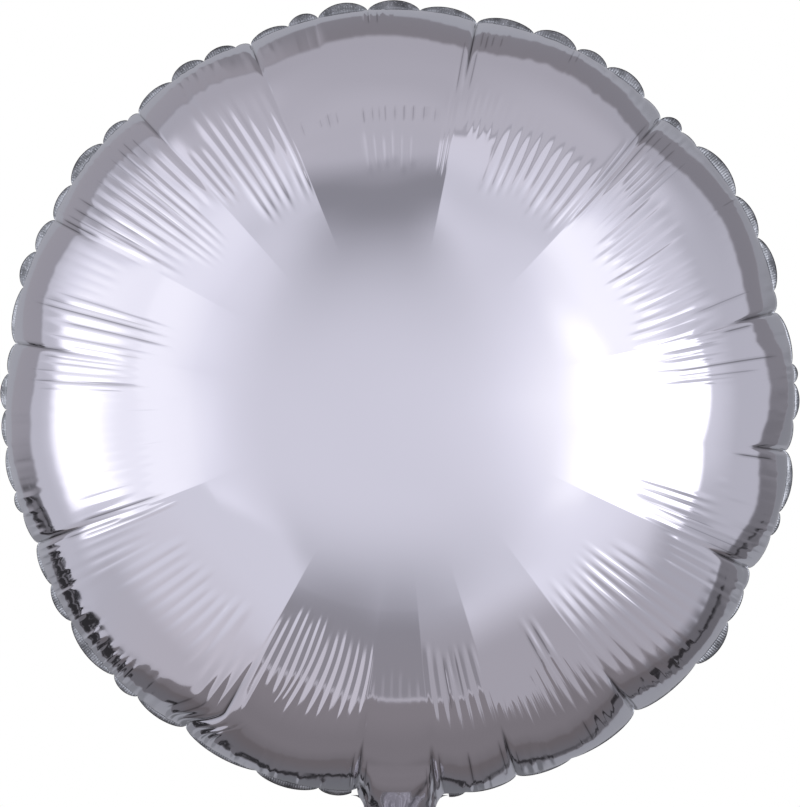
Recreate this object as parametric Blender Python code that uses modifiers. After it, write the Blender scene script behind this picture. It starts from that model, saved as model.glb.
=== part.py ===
"""Round foil balloon of the 18 inch size, inflated.

Two discs of metallised film are welded round their rim. Each disc runs down into a leaf of the neck,
which holds a flat valve of two clear plies. The gas takes up the slack of the rim in pleats.

Metres, +Z up. The origin is the centre of the gas space, where the lift acts. The front panel faces -Y
and the neck hangs towards -Z. Angles round the rim are in degrees, clockwise from the top as seen from
the front.
"""

from bisect import bisect_right
from math import asin, cos, degrees, pi, radians, sin, sqrt

import bmesh
import bpy

# Driving sizes of the envelope
ENVELOPE_RADIUS = 0.1755
FILM = 0.0010
TOUCH = 0.0003

# The rim seal: two films welded flat, from inside the panels' rim to a little outside it
SEAL_THICKNESS = 0.0011
SEAL_INSIDE = 0.0030
SEAL_LEAST_SHOWN = 0.0003

# The pleats: how sharply the rim dips at one, and the groove that it makes in the panel
PLEAT_SHARPNESS = 0.35
GROOVE_SHARE = 0.75
GROOVE_HALF_WIDTH = 0.0085
NOTCH_DEPTH = 0.0007

# The neck, from the rim down
NECK_HALF_WIDTH = 0.0155
NECK_FLARE = 0.0060
NECK_LENGTH = 0.0580
TONGUE_LENGTH = 0.0140
TONGUE_CORNER = 0.0050
LEAF_THICKNESS = 0.0005
NECK_SEAL_WIDTH = 0.0030
RIBBON_HOLE_RADIUS = 0.00325
RIBBON_HOLE_FROM_END = 0.0072

# The valve, between the leaves
VALVE_PLY = 0.0004
VALVE_GAP = 0.0003
VALVE_HALF_WIDTH = 0.0115
VALVE_INSIDE = 0.0070
VALVE_SHOWS = 0.0020

# The slope of the film from the front, in degrees, at the rings that each panel is built on
RING_SLOPES = (0, 6, 14, 22, 31, 41, 51, 61, 70, 80, 90)

# Each row is one puff of the rim, from one pleat to the next: the angle of its first pleat, that pleat's
# depth in mm, and its lobes, each as the angle where it ends and how far its weld shows in mm. The last
# lobe of a row ends at the next row's pleat, and has no angle of its own.
PUFFS = (
    (11.4, 3.4, ((19.9, 2.8), (26.6, 4.1), (31.7, 3.1), (38.6, 3.9)), 0.2),
    (42.5, 4.5, ((49.1, 1.0), (58.2, 4.0), (65.1, 3.1), (73.2, 3.4)), 0.2),
    (76.3, 4.6, ((84.2, 0.9), (87.0, 1.8), (92.4, 2.2)), 0.5),
    (97.0, 3.2, ((106.0, 2.7), (109.6, 1.4)), 0.2),
    (115.3, 4.8, ((118.5, 0.2), (123.7, 1.0), (131.3, 3.6)), 0.6),
    (142.6, 4.6, ((154.2, 0.6),), 0.9),
    (162.6, 2.8, ((170.5, 0.6),), 1.5),
    (175.2, 3.8, (), 1.0),
    (184.8, 3.8, ((191.4, 2.2), (201.4, 2.7)), 1.4),
    (213.6, 3.7, ((221.9, 2.0), (226.5, 2.3), (236.5, 3.4), (242.5, 2.6)), 1.3),
    (248.9, 3.4, ((253.8, 0.4), (257.0, 1.8), (263.7, 1.9), (269.1, 1.9), (274.4, 2.6)), 1.0),
    (278.9, 3.0, ((287.2, 1.6), (292.7, 3.6)), 2.6),
    (298.0, 1.8, ((303.7, 2.4), (311.2, 4.2), (316.1, 2.6)), 0.2),
    (318.0, 2.0, ((324.6, 2.2), (330.2, 3.5), (335.2, 2.6)), 0.2),
    (337.4, 3.0, ((343.5, 2.1), (348.0, 3.4), (355.3, 4.4), (362.9, 4.0)), 2.7),
)

# Where the rim is sampled: beside each pleat, in degrees, and in each lobe, as shares of its width
PLEAT_SAMPLES = (0.0, 0.7, 2.0, 4.0)
LOBE_SAMPLES = (0.0, 0.5)
CLOSEST_SAMPLES = 0.9

# Worked out from the sizes above
SEAM_HALF_GAP = SEAL_THICKNESS / 2 + TOUCH
VALVE_HALF_SPACE = VALVE_GAP / 2
RIM_RADIUS = ENVELOPE_RADIUS + SEAL_LEAST_SHOWN
FLARE_X = NECK_HALF_WIDTH + NECK_FLARE
SEAL_END_X = FLARE_X + TOUCH
SEAL_END_ANGLE = 1 + degrees(asin(SEAL_END_X / (ENVELOPE_RADIUS - SEAL_INSIDE)))
NECK_BOTTOM = -(ENVELOPE_RADIUS + NECK_LENGTH)
TONGUE_BOTTOM = NECK_BOTTOM - TONGUE_LENGTH
CIRCLE_POINTS = 24
CORNER_STEPS = 6

# The pleats in order round the rim, with their depths, and the first one again a turn later
PLEATS = [(pleat, depth / 1000) for pleat, depth, _, _ in PUFFS]
PLEATS.append((PLEATS[0][0] + 360, PLEATS[0][1]))

# Where each lobe starts, with how far its weld shows, and the first one again a turn later
LOBES = []
for pleat, _, lobes, last_shown in PUFFS:
    starts = [pleat] + [end for end, _ in lobes]
    LOBES += zip(starts, [shown / 1000 for _, shown in lobes] + [last_shown / 1000])
LOBES.append((LOBES[0][0] + 360, LOBES[0][1]))


def clear_scene():
    for obj in list(bpy.data.objects):
        bpy.data.objects.remove(obj)


def new_collection(name):
    collection = bpy.data.collections.new(name)
    bpy.context.scene.collection.children.link(collection)
    return collection


def new_material(name, color, roughness, metallic):
    material = bpy.data.materials.new(name)
    material.use_nodes = True
    shader = material.node_tree.nodes["Principled BSDF"]
    shader.inputs["Base Color"].default_value = (*color, 1)
    shader.inputs["Roughness"].default_value = roughness
    shader.inputs["Metallic"].default_value = metallic
    return material


def smooth(low, high, value):
    """0 below low, 1 above high, and a smooth step between them."""
    share = min(max((value - low) / (high - low), 0), 1)
    return share * share * (3 - 2 * share)


def place_between(table, angle):
    """The row of a table round the rim that an angle falls in, and its share of the way to the next."""
    turned = (angle - table[0][0]) % 360 + table[0][0]
    index = min(bisect_right([row[0] for row in table], turned), len(table) - 1) - 1
    start, end = table[index][0], table[index + 1][0]
    return index, (turned - start) / (end - start)


def hump(share, sharpness):
    """1 over the middle of a puff or a lobe, falling to 0 at its ends."""
    return max(sin(pi * share), 0) ** sharpness


def pleat_dip(angle):
    """How far the pleats draw the rim in: a narrow cusp at each one, on a broad arc between them."""
    index, share = place_between(PLEATS, angle)
    depth = PLEATS[index][1] + (PLEATS[index + 1][1] - PLEATS[index][1]) * share
    return depth * (1 - hump(share, PLEAT_SHARPNESS))


def notch_dip(angle):
    """How far the small notch between two lobes draws the rim in."""
    _, share = place_between(LOBES, angle)
    return NOTCH_DEPTH * (1 - hump(share, 0.5))


def rim_dip(angle):
    return pleat_dip(angle) + notch_dip(angle)


def groove(angle):
    """The depth of the nearest pleat's groove in the panel: a cusp that ends at its half width."""
    index, share = place_between(PLEATS, angle)
    width = radians(PLEATS[index + 1][0] - PLEATS[index][0]) * ENVELOPE_RADIUS
    nearer = index if share < 0.5 else index + 1
    distance = width * min(share, 1 - share)
    return PLEATS[nearer][1] * GROOVE_SHARE * max(1 - distance / GROOVE_HALF_WIDTH, 0) ** 2


def envelope_profile():
    """Radius and depth of a gas-filled film disc at each ring.

    A film that can't stretch but can pleat stands at radius R * sqrt(sin(slope)). Its depth is
    R / 2 times the sum of sqrt(sin(slope)) from there to the rim, where the slope is 90 degrees.
    """
    steps = 90
    width = radians(90) / steps
    heights = [0.0]
    for step in range(steps, 0, -1):
        heights.append(heights[-1] + sqrt(sin((step - 0.5) * width)) * width)
    heights.reverse()
    return [
        (radians(slope), ENVELOPE_RADIUS * sqrt(sin(radians(slope))), ENVELOPE_RADIUS / 2 * heights[slope])
        for slope in RING_SLOPES
    ]


def rim_angles():
    """The angles at which the panels and the seal are sampled."""
    angles = set()
    for (start, _), (end, _) in zip(PLEATS, PLEATS[1:]):
        angles |= {start + step for step in PLEAT_SAMPLES} | {end - step for step in PLEAT_SAMPLES[1:]}
    for (start, _), (end, _) in zip(LOBES, LOBES[1:]):
        angles |= {start + (end - start) * share for share in LOBE_SAMPLES}
    kept = []
    for angle in sorted(angles):
        at_pleat = any(abs(angle - pleat) < 1e-6 for pleat, _ in PLEATS)
        if kept and angle - kept[-1] < CLOSEST_SAMPLES and not at_pleat:
            continue
        kept.append(angle)
    return kept[:-1]


def point_on_rim(radius, angle):
    return radius * sin(radians(angle)), radius * cos(radians(angle))


def pleated(slope, radius, depth, angle, side):
    """A point of the film: the round profile, pushed inwards along its normal by the pleats."""
    turned = degrees(slope)
    at_rim = smooth(50, 88, turned)
    in_groove = smooth(16, 48, turned) * (1 - at_rim)
    dent = pleat_dip(angle) * at_rim + groove(angle) * in_groove + notch_dip(angle) * smooth(72, 90, turned)
    radius -= dent * sin(slope)
    depth -= dent * cos(slope)
    x, z = point_on_rim(max(radius, 0), angle)
    return x, side * (depth + SEAM_HALF_GAP), z


def make_panel(name, side, material, collection):
    """One film disc, dished by the gas: a grid rolled round the axis, then given its thickness inwards."""
    profile = envelope_profile()
    angles = rim_angles()
    mesh = bpy.data.meshes.new(name)
    shape = bmesh.new()
    bmesh.ops.create_grid(shape, x_segments=len(angles), y_segments=len(profile) - 1, size=1)
    shape.verts.ensure_lookup_table()
    for index, vert in enumerate(shape.verts):
        ring, spoke = divmod(index, len(angles) + 1)
        vert.co = pleated(*profile[ring], angles[spoke % len(angles)], side)
    bmesh.ops.remove_doubles(shape, verts=shape.verts, dist=1e-6)
    bmesh.ops.recalc_face_normals(shape, faces=shape.faces)
    pole = min(shape.verts, key=lambda vert: side * -vert.co.y)
    if pole.normal.y * side < 0:
        bmesh.ops.reverse_faces(shape, faces=shape.faces)
    shape.to_mesh(mesh)
    shape.free()
    mesh.shade_smooth()
    mesh.set_sharp_from_angle(angle=radians(35))
    panel = bpy.data.objects.new(name, mesh)
    panel.data.materials.append(material)
    collection.objects.link(panel)
    wall = panel.modifiers.new("film", "SOLIDIFY")
    wall.thickness = FILM
    wall.offset = -1
    wall.use_even_offset = False
    return panel


def make_flat(name, outlines, thickness, middle_y, material, collection):
    """A flat piece in the XZ plane: closed outlines of (x, z) points, the later ones cut as holes."""
    curve = bpy.data.curves.new(name, "CURVE")
    curve.dimensions = "2D"
    curve.fill_mode = "BOTH"
    curve.extrude = thickness / 2
    for outline in outlines:
        spline = curve.splines.new("POLY")
        spline.points.add(len(outline) - 1)
        for point, (x, z) in zip(spline.points, outline):
            point.co = (x, z, 0, 1)
        spline.use_cyclic_u = True
    piece = bpy.data.objects.new(name, curve)
    piece.rotation_euler.x = radians(90)
    piece.location.y = middle_y
    curve.materials.append(material)
    collection.objects.link(piece)
    return piece


def on_circle(radius, x):
    """The height of a circle's lower half at x."""
    return -sqrt(radius * radius - x * x)


def rim_point(angle, outwards):
    """A point at an angle, so far outside the panels' rim."""
    return point_on_rim(ENVELOPE_RADIUS - rim_dip(angle) + outwards, angle)


def seal_shown(angle):
    """How far the weld stands out past the panels: a crescent on each lobe."""
    index, share = place_between(LOBES, angle)
    return SEAL_LEAST_SHOWN + LOBES[index][1] * hump(share, 0.6)


def rim_seal_outline():
    """A ring with a scalloped outer edge, open at the bottom where the neck passes."""
    samples = rim_angles()
    samples += [(first + second) / 2 for first, second in zip(samples, samples[1:])]
    from_bottom = sorted((angle - 180) % 360 for angle in samples)
    angles = [180 + turn for turn in from_bottom if SEAL_END_ANGLE < turn < 360 - SEAL_END_ANGLE]
    outer = [rim_point(angle, seal_shown(angle)) for angle in angles]
    inner = [rim_point(angle, -SEAL_INSIDE) for angle in reversed(angles)]
    outer_end = on_circle(RIM_RADIUS, SEAL_END_X)
    inner_end = on_circle(ENVELOPE_RADIUS - SEAL_INSIDE, SEAL_END_X)
    right_end = [(SEAL_END_X, outer_end), (SEAL_END_X, inner_end)]
    return outer + right_end + inner + [(-x, z) for x, z in reversed(right_end)]


def flare(side):
    """The concave shoulder from the rim down into the neck's edge, as a quarter circle."""
    top = on_circle(RIM_RADIUS, FLARE_X)
    turns = [radians(90 + 90 * step / CORNER_STEPS) for step in range(CORNER_STEPS + 1)]
    return [(side * (FLARE_X + NECK_FLARE * cos(a)), top - NECK_FLARE + NECK_FLARE * sin(a)) for a in turns]


def rounded_end(half_width, bottom, corner):
    """The lower end of a leaf, from its right edge round to its left one."""
    turns = [radians(90 * step / CORNER_STEPS) for step in range(CORNER_STEPS + 1)]
    right = [
        (half_width - corner + corner * cos(turn), bottom + corner - corner * sin(turn)) for turn in turns
    ]
    return right + [(-x, z) for x, z in reversed(right)]


def leaf_outline(bottom, corner):
    """A leaf of the neck: its top edge follows the rim, and its sides flare up into it."""
    end_angle = degrees(asin(FLARE_X / (ENVELOPE_RADIUS + TOUCH)))
    between = [angle for angle in rim_angles() if abs(angle - 180) < end_angle]
    top_edge = [rim_point(angle, TOUCH) for angle in (180 + end_angle, *reversed(between), 180 - end_angle)]
    return top_edge + flare(1) + rounded_end(NECK_HALF_WIDTH, bottom, corner) + list(reversed(flare(-1)))


def neck_seal_outline(side):
    """The weld down one side of the neck, which the rim seal runs into at the top."""
    inner_x = NECK_HALF_WIDTH - NECK_SEAL_WIDTH
    inside = ENVELOPE_RADIUS - SEAL_INSIDE
    top = [(side * x, on_circle(inside, x)) for x in (inner_x, (inner_x + FLARE_X) / 2, FLARE_X)]
    return top + flare(side) + [(side * NECK_HALF_WIDTH, NECK_BOTTOM), (side * inner_x, NECK_BOTTOM)]


def circle(center_z, radius):
    turns = [2 * pi * step / CIRCLE_POINTS for step in range(CIRCLE_POINTS)]
    return [(radius * cos(turn), center_z + radius * sin(turn)) for turn in turns]


def valve_outline():
    top = -(ENVELOPE_RADIUS - VALVE_INSIDE)
    bottom = NECK_BOTTOM - VALVE_SHOWS
    return [
        (-VALVE_HALF_WIDTH, top),
        (VALVE_HALF_WIDTH, top),
        (VALVE_HALF_WIDTH, bottom),
        (-VALVE_HALF_WIDTH, bottom),
    ]


def build_envelope(collection, film, welded):
    for name, side in (("front_panel", -1), ("back_panel", 1)):
        make_panel(name, side, film, collection)
    make_flat("rim_seal", [rim_seal_outline()], SEAL_THICKNESS, 0, welded, collection)


def build_neck(collection, film, welded):
    leaf_y = SEAM_HALF_GAP + LEAF_THICKNESS / 2
    front = [leaf_outline(NECK_BOTTOM, TOUCH)]
    make_flat("neck_front_leaf", front, LEAF_THICKNESS, -leaf_y, film, collection)
    hole = circle(TONGUE_BOTTOM + RIBBON_HOLE_FROM_END, RIBBON_HOLE_RADIUS)
    back = [leaf_outline(TONGUE_BOTTOM, TONGUE_CORNER), hole]
    make_flat("neck_back_leaf", back, LEAF_THICKNESS, leaf_y, film, collection)
    for name, side in (("neck_seal_left", -1), ("neck_seal_right", 1)):
        make_flat(name, [neck_seal_outline(side)], SEAL_THICKNESS, 0, welded, collection)


def build_valve(collection, clear_film):
    ply_y = VALVE_HALF_SPACE + VALVE_PLY / 2
    for name, side in (("valve_front_ply", -1), ("valve_back_ply", 1)):
        make_flat(name, [valve_outline()], VALVE_PLY, side * ply_y, clear_film, collection)


def main():
    clear_scene()
    collection = new_collection("round_foil_balloon")
    film = new_material("silver_film", (0.76, 0.75, 0.80), 0.16, 1.0)
    welded = new_material("welded_film", (0.42, 0.42, 0.45), 0.34, 1.0)
    clear_film = new_material("clear_film", (0.86, 0.88, 0.90), 0.25, 0.0)
    build_envelope(collection, film, welded)
    build_neck(collection, film, welded)
    build_valve(collection, clear_film)


main()
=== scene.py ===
"""The looks of a round foil balloon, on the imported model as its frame.

Laid out as an add-on and run as a script. Metres, +Z up, the front panel faces -Y and the neck hangs down.
Angles round the rim are in degrees, clockwise from the top as seen from the front. A place on a panel is
given by its angle and by its share of the way from the middle to the rim.
"""

import math

import bpy
import numpy as np
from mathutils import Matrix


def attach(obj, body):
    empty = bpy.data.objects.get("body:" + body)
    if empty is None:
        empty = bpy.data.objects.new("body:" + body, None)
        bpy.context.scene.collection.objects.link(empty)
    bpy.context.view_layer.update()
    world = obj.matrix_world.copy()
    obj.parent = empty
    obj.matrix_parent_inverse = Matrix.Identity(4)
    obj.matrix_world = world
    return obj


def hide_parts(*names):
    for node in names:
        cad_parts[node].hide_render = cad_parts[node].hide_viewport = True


bl_info = {
    "name": "Round Foil Balloon",
    "version": (1, 0, 0),
    "blender": (4, 5, 0),
    "location": "3D View > Sidebar > Balloon",
    "description": "Dresses a round foil balloon in pleated film, knurled welds and a clear valve",
    "category": "Mesh",
}

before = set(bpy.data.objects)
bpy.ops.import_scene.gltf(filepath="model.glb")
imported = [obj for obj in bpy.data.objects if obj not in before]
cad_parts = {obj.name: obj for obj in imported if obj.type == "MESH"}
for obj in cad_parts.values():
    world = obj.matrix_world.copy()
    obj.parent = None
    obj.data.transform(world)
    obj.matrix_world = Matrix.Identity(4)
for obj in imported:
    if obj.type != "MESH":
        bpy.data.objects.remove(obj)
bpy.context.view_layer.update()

# The envelope, as in the solids
RADIUS = 0.1755
SEAM_HALF_GAP = 0.00085
NOTCH_DEPTH = 0.0007

# Each row is one puff of the rim, from one pleat to the next: the angle of its first pleat, that pleat's
# depth in mm, and its lobes, each as the angle where it ends and how far its weld shows in mm. The last
# lobe of a row ends at the next row's pleat, so only its weld is given, at the end of the row.
PUFFS = (
    (11.4, 3.4, ((19.9, 2.8), (26.6, 4.1), (31.7, 3.1), (38.6, 3.9)), 0.2),
    (42.5, 4.5, ((46.0, 2.8), (49.1, 0.4), (58.2, 4.0), (65.1, 3.1), (73.2, 3.4)), 0.2),
    (76.3, 4.6, ((84.2, 0.9), (87.0, 1.8), (92.4, 2.2)), 0.5),
    (97.0, 3.2, ((106.0, 2.7), (109.6, 1.4)), 0.2),
    (115.3, 4.8, ((118.5, 0.2), (123.7, 1.0), (131.3, 3.6)), 0.6),
    (142.6, 4.6, ((154.2, 0.6),), 0.9),
    (162.6, 2.8, ((170.5, 0.6),), 1.5),
    (174.8, 3.8, (), 1.0),
    (186.4, 3.8, ((192.0, 2.2), (201.4, 2.7)), 1.4),
    (213.6, 3.7, ((221.9, 2.0), (226.5, 2.3), (236.5, 3.4), (242.5, 2.6)), 1.3),
    (248.9, 3.4, ((253.8, 0.4), (257.0, 1.8), (263.7, 1.9), (269.1, 1.9), (274.4, 2.6)), 1.0),
    (278.9, 3.0, ((287.2, 1.6), (292.7, 3.6)), 2.6),
    (298.0, 1.8, ((303.7, 2.4), (311.2, 4.2), (316.1, 2.6)), 0.2),
    (318.0, 2.0, ((324.6, 2.2), (330.2, 3.5), (335.2, 2.6)), 0.2),
    (337.4, 3.0, ((343.5, 2.1), (348.0, 3.4), (355.3, 4.4), (362.9, 4.0)), 2.7),
)

# The pleats: the share where each one's fold ends inwards, how many degrees it leans on its way there, the
# share where the film beyond it, up to the next pleat, is round again, and its own crease, as the share where
# that starts and its depth in mm
PLEAT_FOLDS = (
    (0.74, -0.9, 0.82, 0.80, 0.34),
    (0.58, 0.9, 0.82, 0.86, 0.26),
    (0.72, 1.0, 0.82, 0.82, 0.34),
    (0.84, 1.2, 0.82, 0.86, 0.26),
    (0.80, 0.0, 0.82, 0.82, 0.34),
    (0.82, 0.2, 0.90, 0.81, 0.36),
    (0.80, 0.4, 0.90, 0.82, 0.38),
    (0.78, 0.2, 0.86, 0.84, 0.26),
    (0.70, 0.8, 0.93, 0.82, 0.26),
    (0.66, -4.5, 0.82, 0.77, 0.30),
    (0.58, -1.6, 0.82, 0.80, 0.34),
    (0.66, 0.1, 0.82, 0.78, 0.24),
    (0.66, 1.0, 0.82, 0.86, 0.24),
    (0.68, 0.2, 0.82, 0.85, 0.20),
    (0.75, 0.3, 0.82, 0.90, 0.24),
)

# The fine gathers between the pleats, in rows of like ones: first and last angle, how many, the shares
# where they start and end, how steep their sides are in degrees, how far they slant inwards at the first
# and the last one, in degrees, and their skew: over 1, each one's crest is nearer its last angle
GATHERS = (
    (-8.0, 4.0, 6, 0.56, 0.67, 3, 0.0, 0.0, 1.0),
    (8.4, 11.4, 3, 0.56, 0.74, 13, 0.8, 0.2, 1.0),
    (12.6, 19.8, 6, 0.67, 0.77, 9, 0.0, 0.0, 0.8),
    (19.8, 40.6, 10, 0.55, 0.755, 10, 0.6, 1.0, 0.62),
    (40.6, 43.6, 3, 0.57, 0.84, 12, 0.2, 0.6, 0.8),
    (43.6, 47.4, 3, 0.66, 0.92, 7, 0.0, 0.5, 1.0),
    (47.4, 50.0, 2, 0.62, 0.96, 9, 0.5, 1.0, 0.7),
    (50.0, 76.0, 12, 0.58, 0.79, 11, 1.2, 1.5, 0.62),
    (76.5, 78.9, 2, 0.70, 0.88, 10, 0.5, 0.5, 1.0),
    (78.9, 82.3, 2, 0.62, 0.80, 11, 0.5, 0.5, 0.7),
    (82.3, 86.6, 3, 0.58, 0.96, 10, 0.5, 0.5, 0.7),
    (86.6, 92.0, 3, 0.80, 0.95, 2, 0.0, 0.0, 1.0),
    (97.2, 99.2, 2, 0.82, 0.97, 9, 0.0, 0.0, 1.0),
    (99.2, 106.4, 4, 0.80, 1.00, 5, 0.0, 0.0, 1.0),
    (106.4, 111.0, 3, 0.58, 0.82, 11, 0.0, 0.0, 1.3),
    (111.0, 115.0, 3, 0.61, 0.93, 12, 0.0, 0.0, 1.4),
    (115.6, 121.6, 4, 0.70, 0.98, 8, 0.0, 0.0, 1.0),
    (121.6, 125.9, 2, 0.60, 0.96, 6, 0.3, 0.3, 1.0),
    (125.9, 142.2, 8, 0.56, 0.95, 9, 0.3, 0.5, 0.9),
    (142.9, 147.3, 3, 0.70, 0.91, 9, 0.5, 0.5, 1.0),
    (147.3, 151.6, 2, 0.58, 0.93, 13, 0.3, 0.3, 1.0),
    (151.6, 154.6, 2, 0.68, 0.90, 10, 0.3, 0.3, 1.0),
    (154.4, 162.0, 6, 0.75, 0.90, 15, 0.0, 0.0, 1.0),
    (163.0, 174.6, 6, 0.59, 0.87, 13, 0.0, 0.5, 0.65),
    (176.0, 184.8, 5, 0.64, 0.80, 3, 0.0, 0.0, 1.0),
    (186.8, 194.2, 4, 0.58, 0.86, 9, -2.2, -2.6, 2.6),
    (194.2, 201.8, 4, 0.55, 0.86, 9, -2.6, -3.0, 2.6),
    (201.8, 209.4, 4, 0.55, 0.77, 9, -3.0, -3.4, 2.2),
    (209.4, 213.2, 2, 0.59, 0.82, 10, -4.0, -4.4, 2.2),
    (213.8, 218.2, 3, 0.70, 0.93, 9, -4.0, -3.0, 1.0),
    (218.2, 239.4, 10, 0.61, 0.80, 8, -2.2, -0.3, 1.0),
    (239.4, 246.4, 4, 0.68, 0.93, 5, -0.5, -0.5, 1.0),
    (246.4, 250.4, 4, 0.56, 0.88, 12, 0.0, 0.0, 1.0),
    (251.0, 272.0, 11, 0.53, 0.82, 6, 0.0, 0.0, 1.0),
    (272.0, 278.6, 4, 0.60, 0.93, 8, 0.0, 0.0, 1.5),
    (279.2, 288.4, 4, 0.56, 0.95, 10, 0.0, 0.5, 1.5),
    (288.4, 297.2, 5, 0.74, 0.94, 4, 0.0, 0.0, 1.0),
    (298.4, 304.4, 3, 0.61, 1.04, 11, 0.5, 0.5, 1.5),
    (304.4, 313.2, 5, 0.55, 1.05, 13, 0.5, 0.5, 1.5),
    (313.2, 317.6, 2, 0.64, 0.98, 9, 0.5, 0.5, 1.0),
    (318.2, 323.2, 3, 0.62, 0.77, 12, 0.3, 0.3, 1.5),
    (323.2, 337.0, 7, 0.53, 0.89, 14, 0.3, 1.2, 1.6),
)

# Short steep puckers where the film turns over at the rim: first and last angle, how many, the share where
# they start, and how steep their sides are in degrees
PUCKERS = (
    (172.6, 176.6, 4, 0.900, 24),
    (184.6, 188.6, 4, 0.890, 24),
    (-5.6, -2.0, 4, 0.952, 26),
    (12.2, 17.0, 5, 0.920, 20),
    (24.6, 28.4, 4, 0.938, 16),
    (43.4, 48.4, 5, 0.928, 18),
    (57.0, 60.4, 3, 0.938, 14),
    (84.0, 96.6, 11, 0.938, 14),
    (98.0, 101.0, 3, 0.920, 16),
    (106.0, 114.6, 7, 0.938, 16),
    (116.0, 123.6, 7, 0.945, 22),
    (131.5, 142.2, 9, 0.925, 22),
    (154.0, 162.0, 6, 0.965, 20),
    (163.4, 172.6, 8, 0.960, 22),
    (188.6, 200.0, 10, 0.960, 22),
    (200.0, 209.0, 6, 0.960, 18),
    (209.0, 217.0, 6, 0.915, 24),
    (224.6, 237.0, 11, 0.922, 26),
    (237.0, 248.4, 11, 0.920, 24),
    (249.6, 256.4, 6, 0.940, 20),
    (260.6, 264.6, 3, 0.955, 18),
    (298.8, 303.0, 4, 0.928, 16),
    (304.0, 317.0, 10, 0.932, 16),
    (323.0, 336.6, 10, 0.938, 16),
    (338.0, 341.6, 3, 0.930, 12),
)

# Sharp creases between the pleats, thin and with painted shade in them, darker in the deeper ones: the angle,
# the shares where each one starts and ends, and its depth in mm
FINE_CREASES = (
    (-19.7, 0.69, 0.725, 0.05), (-15.9, 0.695, 0.72, 0.05), (-14.2, 0.69, 0.73, 0.08),
    (-12.5, 0.695, 0.725, 0.06), (-7.2, 0.685, 0.725, 0.10), (-5.4, 0.69, 0.725, 0.07),
    (-4.1, 0.69, 0.725, 0.06), (-2.9, 0.685, 0.73, 0.08), (-1.0, 0.69, 0.725, 0.08),
    (-4.7, 0.945, 0.99, 0.14), (-3.4, 0.945, 0.985, 0.12), (0.8, 0.685, 0.73, 0.10),
    (2.6, 0.685, 0.73, 0.10), (4.6, 0.69, 0.73, 0.09), (6.6, 0.69, 0.725, 0.06),
    (10.2, 0.76, 0.92, 0.14), (12.4, 0.78, 0.90, 0.12), (12.7, 0.905, 0.96, 0.12),
    (13.5, 0.90, 0.95, 0.14), (14.4, 0.915, 0.955, 0.12), (15.7, 0.92, 0.955, 0.10),
    (26.3, 0.94, 1.00, 0.12), (27.2, 0.95, 0.99, 0.10), (41.5, 0.68, 0.95, 0.14),
    (43.4, 0.70, 0.96, 0.16), (44.5, 0.86, 0.94, 0.10), (46.1, 0.88, 0.95, 0.10),
    (47.3, 0.84, 0.94, 0.12), (58.6, 0.935, 0.985, 0.08), (48.6, 0.69, 0.91, 0.07),
    (49.9, 0.76, 0.94, 0.05), (72.2, 0.74, 0.92, 0.12), (77.4, 0.80, 0.90, 0.20),
    (78.7, 0.62, 0.80, 0.10), (80.2, 0.60, 0.76, 0.12), (81.6, 0.64, 0.78, 0.09),
    (82.8, 0.61, 0.96, 0.20), (84.6, 0.60, 0.90, 0.12), (86.2, 0.66, 0.78, 0.09),
    (98.5, 0.82, 0.95, 0.24), (107.4, 0.64, 0.77, 0.07), (108.9, 0.60, 0.79, 0.10),
    (110.3, 0.62, 0.80, 0.09), (111.6, 0.58, 0.84, 0.14), (113.1, 0.62, 0.93, 0.12),
    (114.3, 0.80, 0.96, 0.12), (148.8, 0.61, 0.72, 0.16), (150.1, 0.90, 0.97, 0.20),
    (151.0, 0.62, 0.74, 0.14), (161.6, 0.90, 0.99, 0.16), (163.8, 0.86, 0.98, 0.18),
    (167.6, 0.61, 0.74, 0.14), (169.0, 0.87, 0.97, 0.22), (170.2, 0.62, 0.76, 0.12),
    (173.7, 0.86, 1.00, 0.20), (175.9, 0.90, 1.00, 0.16), (185.3, 0.88, 1.00, 0.18),
    (187.5, 0.86, 1.00, 0.20), (215.0, 0.90, 1.00, 0.20), (216.4, 0.86, 0.96, 0.18),
    (217.6, 0.88, 0.97, 0.18), (247.2, 0.62, 0.86, 0.16), (248.0, 0.70, 0.90, 0.20),
    (249.8, 0.60, 0.84, 0.18), (272.4, 0.66, 0.90, 0.08), (273.7, 0.60, 0.93, 0.16),
    (275.4, 0.64, 0.93, 0.10), (276.7, 0.66, 0.88, 0.08), (277.7, 0.64, 0.90, 0.15),
    (279.8, 0.62, 0.84, 0.12), (281.2, 0.62, 0.90, 0.09), (283.6, 0.56, 0.86, 0.14),
    (285.6, 0.57, 0.95, 0.20), (286.6, 0.60, 0.94, 0.12), (288.0, 0.58, 0.90, 0.09),
    (298.7, 0.83, 0.97, 0.24), (299.6, 0.74, 0.96, 0.12), (300.9, 0.70, 0.96, 0.20),
    (302.6, 0.70, 0.96, 0.18), (304.6, 0.76, 0.93, 0.08), (306.4, 0.70, 0.94, 0.12),
    (308.3, 0.62, 0.94, 0.10), (310.2, 0.64, 0.95, 0.12), (312.0, 0.78, 0.95, 0.14),
    (313.2, 0.88, 0.95, 0.12), (314.6, 0.86, 0.94, 0.10),
)

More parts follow.
